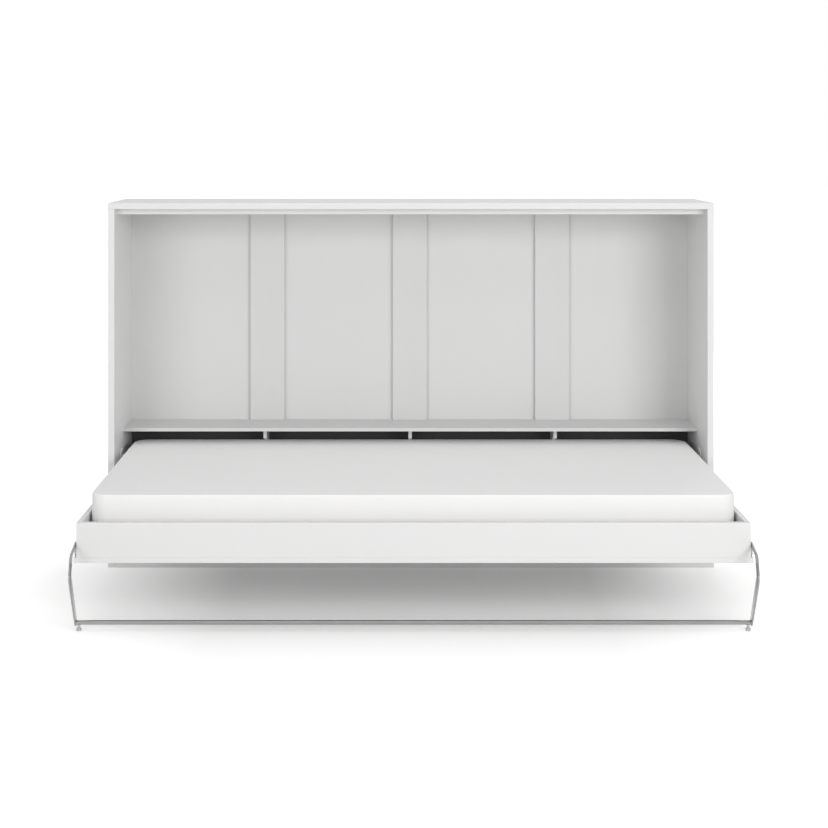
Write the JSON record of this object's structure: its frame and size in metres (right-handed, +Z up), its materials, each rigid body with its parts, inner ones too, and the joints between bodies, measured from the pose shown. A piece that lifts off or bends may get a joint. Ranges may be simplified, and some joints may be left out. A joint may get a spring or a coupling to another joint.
{
  "type": "cabinet bed",
  "caption": "Low white cabinet whose front folds down sideways into a single bed, with slatted base, mattress, hinged U-shaped metal leg and gas struts",
  "frame": {"origin": "on the floor, under the centre of the whole object with the bed open", "axes": "+X along the bed to the viewer's right, +Y from the bed's front to the wall, +Z up"},
  "size_m": [2.11, 1.1793, 1.27],
  "materials": {
    "board": "white coated board, satin",
    "back": "thin white backing board",
    "slat": "laminated birch",
    "bearer": "planed softwood",
    "fabric": "white woven cover",
    "chrome": "polished",
    "steel": "zinc plated",
    "bush": "moulded",
    "plate": "white powder coat",
    "glide": "moulded",
    "strut": "satin black",
    "holder": "moulded"
  },
  "bodies": {
    "cabinet": {"side_panel_left": "board", "side_panel_right": "board", "top_panel": "board", "top_rail": "board", "plinth_board": "board", "rear_rail": "board", "back_panel_1": "back", "back_panel_2": "back", "back_panel_3": "back", "back_panel_4": "back", "back_batten_1": "board", "back_batten_2": "board", "back_batten_3": "board", "back_shelf": "board", "shelf_support_1": "board", "shelf_support_2": "board", "shelf_support_3": "board", "wall_bracket_left": "plate", "wall_bracket_right": "plate", "cabinet_hinge_plate_left": "plate", "cabinet_hinge_plate_right": "plate", "cabinet_hinge_screws": "steel", "pivot_pin_left": "steel", "pivot_pin_right": "steel", "strut_stud_cabinet_left": "steel", "strut_stud_cabinet_right": "steel"},
    "bed": {"face_panel": "board", "front_rail": "board", "back_rail": "board", "end_rail_left": "board", "end_rail_right": "board", "bed_hinge_plate_left": "plate", "bed_hinge_plate_right": "plate", "bed_hinge_screws": "steel", "pivot_bush_left": "bush", "pivot_bush_right": "bush", "strut_stud_bed_left": "steel", "strut_stud_bed_right": "steel", "bearer_front": "bearer", "bearer_middle": "bearer", "bearer_back": "bearer", "slats": "slat", "slat_holders": "holder", "mattress": "fabric", "corner_brackets": "steel", "leg_pivot_bolt_left": "steel", "leg_pivot_bolt_right": "steel", "leg_washers": "steel", "leg_stop_pins": "steel"},
    "leg": {"leg_arm_left": "chrome", "leg_arm_right": "chrome", "leg_bar": "chrome", "leg_foot_left": "glide", "leg_foot_right": "glide"},
    "strut_tube_body_left": {"strut_tube_left": "strut"},
    "strut_tube_body_right": {"strut_tube_right": "strut"},
    "strut_rod_body_left": {"strut_rod_left": "chrome"},
    "strut_rod_body_right": {"strut_rod_right": "chrome"}
  },
  "joints": [
    {"name": "bed_fold", "type": "hinge", "parent": "cabinet", "child": "bed", "pos_m": [0, 0.36017, 0.3585], "axis": [-1, 0, 0], "range_deg": [0, 90]},
    {"name": "leg_fold", "type": "hinge", "parent": "bed", "child": "leg", "pos_m": [0, -0.47834, 0.236], "axis": [1, 0, 0], "range_deg": [0, 80]},
    {"name": "strut_tilt_left", "type": "hinge", "parent": "cabinet", "child": "strut_tube_body_left", "pos_m": [-1.018, 0.3847, 0.24308], "axis": [-1, 0, 0], "range_deg": [0, 45]},
    {"name": "strut_extend_left", "type": "slide", "parent": "strut_tube_body_left", "child": "strut_rod_body_left", "axis": [0, -0.9135, 0.4067], "range_m": [0, 0.09438]},
    {"name": "strut_tilt_right", "type": "hinge", "parent": "cabinet", "child": "strut_tube_body_right", "pos_m": [1.018, 0.3847, 0.24308], "axis": [-1, 0, 0], "range_deg": [0, 45]},
    {"name": "strut_extend_right", "type": "slide", "parent": "strut_tube_body_right", "child": "strut_rod_body_right", "axis": [0, -0.9135, 0.4067], "range_m": [0, 0.09438]}
  ],
  "couplings": [
    {"joint": "leg_fold", "follows": "bed_fold", "ratio": 0.88889},
    {"joint": "strut_tilt_left", "follows": "bed_fold", "ratio": 0.5},
    {"joint": "strut_extend_left", "follows": "bed_fold", "m_per_rad": 0.060082},
    {"joint": "strut_tilt_right", "follows": "bed_fold", "ratio": 0.5},
    {"joint": "strut_extend_right", "follows": "bed_fold", "m_per_rad": 0.060082}
  ]
}
